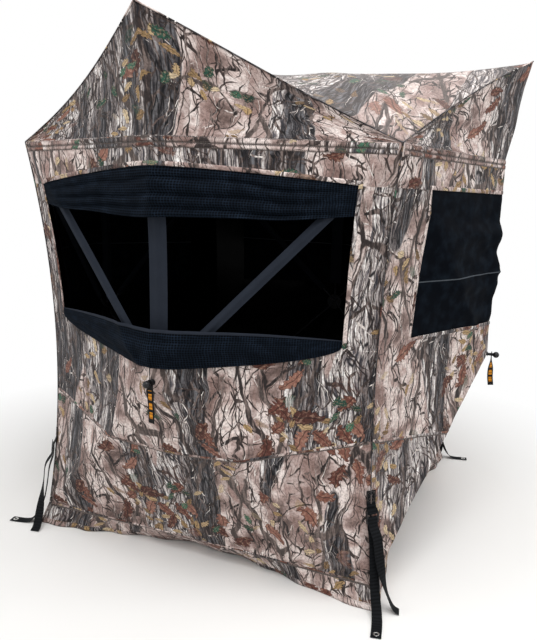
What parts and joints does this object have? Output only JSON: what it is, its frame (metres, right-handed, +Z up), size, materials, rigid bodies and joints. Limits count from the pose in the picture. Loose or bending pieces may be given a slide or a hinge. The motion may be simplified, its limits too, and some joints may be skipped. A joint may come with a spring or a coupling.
{
  "type": "pop up ground blind",
  "caption": "Square pop-up fabric hide: hub-and-rod walls drawn out to points, peaked roof, windows with mesh, lift-up door flap and corner staking straps.",
  "frame": {"origin": "on the ground in the middle of the hide", "axes": "+Z up, -Y out of the front wall with the open window, +X out of the right wall"},
  "size_m": [2.11, 2.11, 1.9796],
  "materials": {
    "camo_cloth": "matt printed polyester, black coated inside",
    "roof_cloth": "matt printed polyester, black coated inside",
    "black_mesh": "fine black knitted mesh",
    "black_cloth": "matt black polyester",
    "moulded_nylon": "moulded black nylon",
    "fibreglass_rod": "drawn fibreglass in a dark sleeve",
    "webbing": "black woven webbing",
    "plated_steel": "plated rolled eyelet"
  },
  "bodies": {
    "cover": {"back_left_buckle": "moulded_nylon", "back_left_grommet": "plated_steel", "back_left_stake_strap": "webbing", "back_left_strap_anchor": "webbing", "back_right_buckle": "moulded_nylon", "back_right_grommet": "plated_steel", "back_right_stake_strap": "webbing", "back_right_strap_anchor": "webbing", "back_wall": "camo_cloth", "back_window_panel": "black_cloth", "front_left_buckle": "moulded_nylon", "front_left_grommet": "plated_steel", "front_left_stake_strap": "webbing", "front_left_strap_anchor": "webbing", "front_mesh_lower": "black_mesh", "front_mesh_upper": "black_mesh", "front_right_buckle": "moulded_nylon", "front_right_grommet": "plated_steel", "front_right_stake_strap": "webbing", "front_right_strap_anchor": "webbing", "front_wall": "camo_cloth", "left_wall": "camo_cloth", "left_window_panel": "black_cloth", "right_wall": "camo_cloth", "right_window_panel": "black_cloth", "roof_canopy": "roof_cloth"},
    "front_hub": {"front_hub": "moulded_nylon", "front_hub_knob": "moulded_nylon"},
    "front_pull_tab": {"front_pull_tab": "webbing"},
    "front_rod_top_left": {"front_rod_top_left": "fibreglass_rod"},
    "front_rod_top_right": {"front_rod_top_right": "fibreglass_rod"},
    "front_rod_peak": {"front_rod_peak": "fibreglass_rod"},
    "front_rod_bottom_left": {"front_rod_bottom_left": "fibreglass_rod"},
    "front_rod_bottom_right": {"front_rod_bottom_right": "fibreglass_rod"},
    "right_hub": {"right_hub": "moulded_nylon", "right_hub_knob": "moulded_nylon"},
    "right_pull_tab": {"right_pull_tab": "webbing"},
    "right_rod_top_left": {"right_rod_top_left": "fibreglass_rod"},
    "right_rod_top_right": {"right_rod_top_right": "fibreglass_rod"},
    "right_rod_peak": {"right_rod_peak": "fibreglass_rod"},
    "right_rod_bottom_left": {"right_rod_bottom_left": "fibreglass_rod"},
    "right_rod_bottom_right": {"right_rod_bottom_right": "fibreglass_rod"},
    "back_hub": {"back_hub": "moulded_nylon", "back_hub_knob": "moulded_nylon"},
    "back_pull_tab": {"back_pull_tab": "webbing"},
    "back_rod_top_left": {"back_rod_top_left": "fibreglass_rod"},
    "back_rod_top_right": {"back_rod_top_right": "fibreglass_rod"},
    "back_rod_peak": {"back_rod_peak": "fibreglass_rod"},
    "back_rod_bottom_left": {"back_rod_bottom_left": "fibreglass_rod"},
    "back_rod_bottom_right": {"back_rod_bottom_right": "fibreglass_rod"},
    "left_hub": {"left_hub": "moulded_nylon", "left_hub_knob": "moulded_nylon"},
    "left_pull_tab": {"left_pull_tab": "webbing"},
    "left_rod_top_left": {"left_rod_top_left": "fibreglass_rod"},
    "left_rod_top_right": {"left_rod_top_right": "fibreglass_rod"},
    "left_rod_peak": {"left_rod_peak": "fibreglass_rod"},
    "left_rod_bottom_left": {"left_rod_bottom_left": "fibreglass_rod"},
    "left_rod_bottom_right": {"left_rod_bottom_right": "fibreglass_rod"},
    "back_doorway": {"back_door_zip": "webbing"},
    "back_door": {"back_door": "camo_cloth"}
  },
  "joints": [
    {"name": "front_hub_push", "type": "slide", "parent": "cover", "child": "front_hub", "axis": [0, 1, 0], "range_m": [0, 0.47], "deforming": ["front_wall", "front_mesh_upper", "front_mesh_lower", "roof_canopy"]},
    {"name": "front_tab_swing", "type": "hinge", "parent": "front_hub", "child": "front_pull_tab", "pos_m": [0, -1.023, 0.825], "axis": [0, -1, 0], "range_deg": [-90, 90]},
    {"name": "front_rod_top_left_fold", "type": "hinge", "parent": "front_hub", "child": "front_rod_top_left", "pos_m": [-0.0218, -0.97105, 0.84842], "axis": [-0.732, 0, -0.6813], "range_deg": [-27.1, 1]},
    {"name": "front_rod_top_right_fold", "type": "hinge", "parent": "front_hub", "child": "front_rod_top_right", "pos_m": [0.0218, -0.97105, 0.84842], "axis": [-0.732, 0, 0.6813], "range_deg": [-27.1, 1]},
    {"name": "front_rod_peak_fold", "type": "hinge", "parent": "front_hub", "child": "front_rod_peak", "pos_m": [0, -0.97105, 0.857], "axis": [-1, 0, 0], "range_deg": [-27.1, 1]},
    {"name": "front_rod_bottom_left_fold", "type": "hinge", "parent": "front_hub", "child": "front_rod_bottom_left", "pos_m": [-0.0227, -0.97105, 0.80245], "axis": [0.7047, 0, -0.7095], "range_deg": [-28.2, 1]},
    {"name": "front_rod_bottom_right_fold", "type": "hinge", "parent": "front_hub", "child": "front_rod_bottom_right", "pos_m": [0.0227, -0.97105, 0.80245], "axis": [0.7047, 0, 0.7095], "range_deg": [-28.2, 1]},
    {"name": "right_hub_push", "type": "slide", "parent": "cover", "child": "right_hub", "axis": [-1, 0, 0], "range_m": [0, 0.47], "deforming": ["right_wall", "right_window_panel", "roof_canopy"]},
    {"name": "right_tab_swing", "type": "hinge", "parent": "right_hub", "child": "right_pull_tab", "pos_m": [1.023, 0, 0.825], "axis": [1, 0, 0], "range_deg": [-90, 90]},
    {"name": "right_rod_top_left_fold", "type": "hinge", "parent": "right_hub", "child": "right_rod_top_left", "pos_m": [0.97105, -0.0218, 0.84842], "axis": [0, -0.732, -0.6813], "range_deg": [-27.1, 1]},
    {"name": "right_rod_top_right_fold", "type": "hinge", "parent": "right_hub", "child": "right_rod_top_right", "pos_m": [0.97105, 0.0218, 0.84842], "axis": [0, -0.732, 0.6813], "range_deg": [-27.1, 1]},
    {"name": "right_rod_peak_fold", "type": "hinge", "parent": "right_hub", "child": "right_rod_peak", "pos_m": [0.97105, 0, 0.857], "axis": [0, -1, 0], "range_deg": [-27.1, 1]},
    {"name": "right_rod_bottom_left_fold", "type": "hinge", "parent": "right_hub", "child": "right_rod_bottom_left", "pos_m": [0.97105, -0.0227, 0.80245], "axis": [0, 0.7047, -0.7095], "range_deg": [-28.2, 1]},
    {"name": "right_rod_bottom_right_fold", "type": "hinge", "parent": "right_hub", "child": "right_rod_bottom_right", "pos_m": [0.97105, 0.0227, 0.80245], "axis": [0, 0.7047, 0.7095], "range_deg": [-28.2, 1]},
    {"name": "back_hub_push", "type": "slide", "parent": "cover", "child": "back_hub", "axis": [0, -1, 0], "range_m": [0, 0.47], "deforming": ["back_wall", "back_window_panel", "roof_canopy"]},
    {"name": "back_tab_swing", "type": "hinge", "parent": "back_hub", "child": "back_pull_tab", "pos_m": [0, 1.023, 0.825], "axis": [0, 1, 0], "range_deg": [-90, 90]},
    {"name": "back_rod_top_left_fold", "type": "hinge", "parent": "back_hub", "child": "back_rod_top_left", "pos_m": [0.0218, 0.97105, 0.84842], "axis": [0.732, 0, -0.6813], "range_deg": [-27.1, 1]},
    {"name": "back_rod_top_right_fold", "type": "hinge", "parent": "back_hub", "child": "back_rod_top_right", "pos_m": [-0.0218, 0.97105, 0.84842], "axis": [0.732, 0, 0.6813], "range_deg": [-27.1, 1]},
    {"name": "back_rod_peak_fold", "type": "hinge", "parent": "back_hub", "child": "back_rod_peak", "pos_m": [0, 0.97105, 0.857], "axis": [1, 0, 0], "range_deg": [-27.1, 1]},
    {"name": "back_rod_bottom_left_fold", "type": "hinge", "parent": "back_hub", "child": "back_rod_bottom_left", "pos_m": [0.0227, 0.97105, 0.80245], "axis": [-0.7047, 0, -0.7095], "range_deg": [-28.2, 1]},
    {"name": "back_rod_bottom_right_fold", "type": "hinge", "parent": "back_hub", "child": "back_rod_bottom_right", "pos_m": [-0.0227, 0.97105, 0.80245], "axis": [-0.7047, 0, 0.7095], "range_deg": [-28.2, 1]},
    {"name": "left_hub_push", "type": "slide", "parent": "cover", "child": "left_hub", "axis": [1, 0, 0], "range_m": [0, 0.47], "deforming": ["left_wall", "left_window_panel", "roof_canopy"]},
    {"name": "left_tab_swing", "type": "hinge", "parent": "left_hub", "child": "left_pull_tab", "pos_m": [-1.023, 0, 0.825], "axis": [-1, 0, 0], "range_deg": [-90, 90]},
    {"name": "left_rod_top_left_fold", "type": "hinge", "parent": "left_hub", "child": "left_rod_top_left", "pos_m": [-0.97105, 0.0218, 0.84842], "axis": [0, 0.732, -0.6813], "range_deg": [-27.1, 1]},
    {"name": "left_rod_top_right_fold", "type": "hinge", "parent": "left_hub", "child": "left_rod_top_right", "pos_m": [-0.97105, -0.0218, 0.84842], "axis": [0, 0.732, 0.6813], "range_deg": [-27.1, 1]},
    {"name": "left_rod_peak_fold", "type": "hinge", "parent": "left_hub", "child": "left_rod_peak", "pos_m": [-0.97105, 0, 0.857], "axis": [0, 1, 0], "range_deg": [-27.1, 1]},
    {"name": "left_rod_bottom_left_fold", "type": "hinge", "parent": "left_hub", "child": "left_rod_bottom_left", "pos_m": [-0.97105, 0.0227, 0.80245], "axis": [0, -0.7047, -0.7095], "range_deg": [-28.2, 1]},
    {"name": "left_rod_bottom_right_fold", "type": "hinge", "parent": "left_hub", "child": "left_rod_bottom_right", "pos_m": [-0.97105, -0.0227, 0.80245], "axis": [0, -0.7047, 0.7095], "range_deg": [-28.2, 1]},
    {"name": "back_doorway_tip", "type": "hinge", "parent": "cover", "child": "back_doorway", "pos_m": [0, 0.74, 0.09], "axis": [1, 0, 0], "range_deg": [-1, 36.4]},
    {"name": "back_door_lift", "type": "hinge", "parent": "back_doorway", "child": "back_door", "pos_m": [0, 0.92006, 0.5894], "axis": [1, 0, 0], "range_deg": [0, 70]}
  ],
  "couplings": [
    {"joint": "front_rod_top_left_fold", "follows": "front_hub_push", "rad_per_m": -0.96949},
    {"joint": "front_rod_top_right_fold", "follows": "front_hub_push", "rad_per_m": -0.96949},
    {"joint": "front_rod_peak_fold", "follows": "front_hub_push", "rad_per_m": -0.96814},
    {"joint": "front_rod_bottom_left_fold", "follows": "front_hub_push", "rad_per_m": -1.011},
    {"joint": "front_rod_bottom_right_fold", "follows": "front_hub_push", "rad_per_m": -1.011},
    {"joint": "right_rod_top_left_fold", "follows": "right_hub_push", "rad_per_m": -0.96949},
    {"joint": "right_rod_top_right_fold", "follows": "right_hub_push", "rad_per_m": -0.96949},
    {"joint": "right_rod_peak_fold", "follows": "right_hub_push", "rad_per_m": -0.96814},
    {"joint": "right_rod_bottom_left_fold", "follows": "right_hub_push", "rad_per_m": -1.011},
    {"joint": "right_rod_bottom_right_fold", "follows": "right_hub_push", "rad_per_m": -1.011},
    {"joint": "back_rod_top_left_fold", "follows": "back_hub_push", "rad_per_m": -0.96949},
    {"joint": "back_rod_top_right_fold", "follows": "back_hub_push", "rad_per_m": -0.96949},
    {"joint": "back_rod_peak_fold", "follows": "back_hub_push", "rad_per_m": -0.96814},
    {"joint": "back_rod_bottom_left_fold", "follows": "back_hub_push", "rad_per_m": -1.011},
    {"joint": "back_rod_bottom_right_fold", "follows": "back_hub_push", "rad_per_m": -1.011},
    {"joint": "left_rod_top_left_fold", "follows": "left_hub_push", "rad_per_m": -0.96949},
    {"joint": "left_rod_top_right_fold", "follows": "left_hub_push", "rad_per_m": -0.96949},
    {"joint": "left_rod_peak_fold", "follows": "left_hub_push", "rad_per_m": -0.96814},
    {"joint": "left_rod_bottom_left_fold", "follows": "left_hub_push", "rad_per_m": -1.011},
    {"joint": "left_rod_bottom_right_fold", "follows": "left_hub_push", "rad_per_m": -1.011},
    {"joint": "back_doorway_tip", "follows": "back_hub_push", "rad_per_m": 1.315}
  ]
}
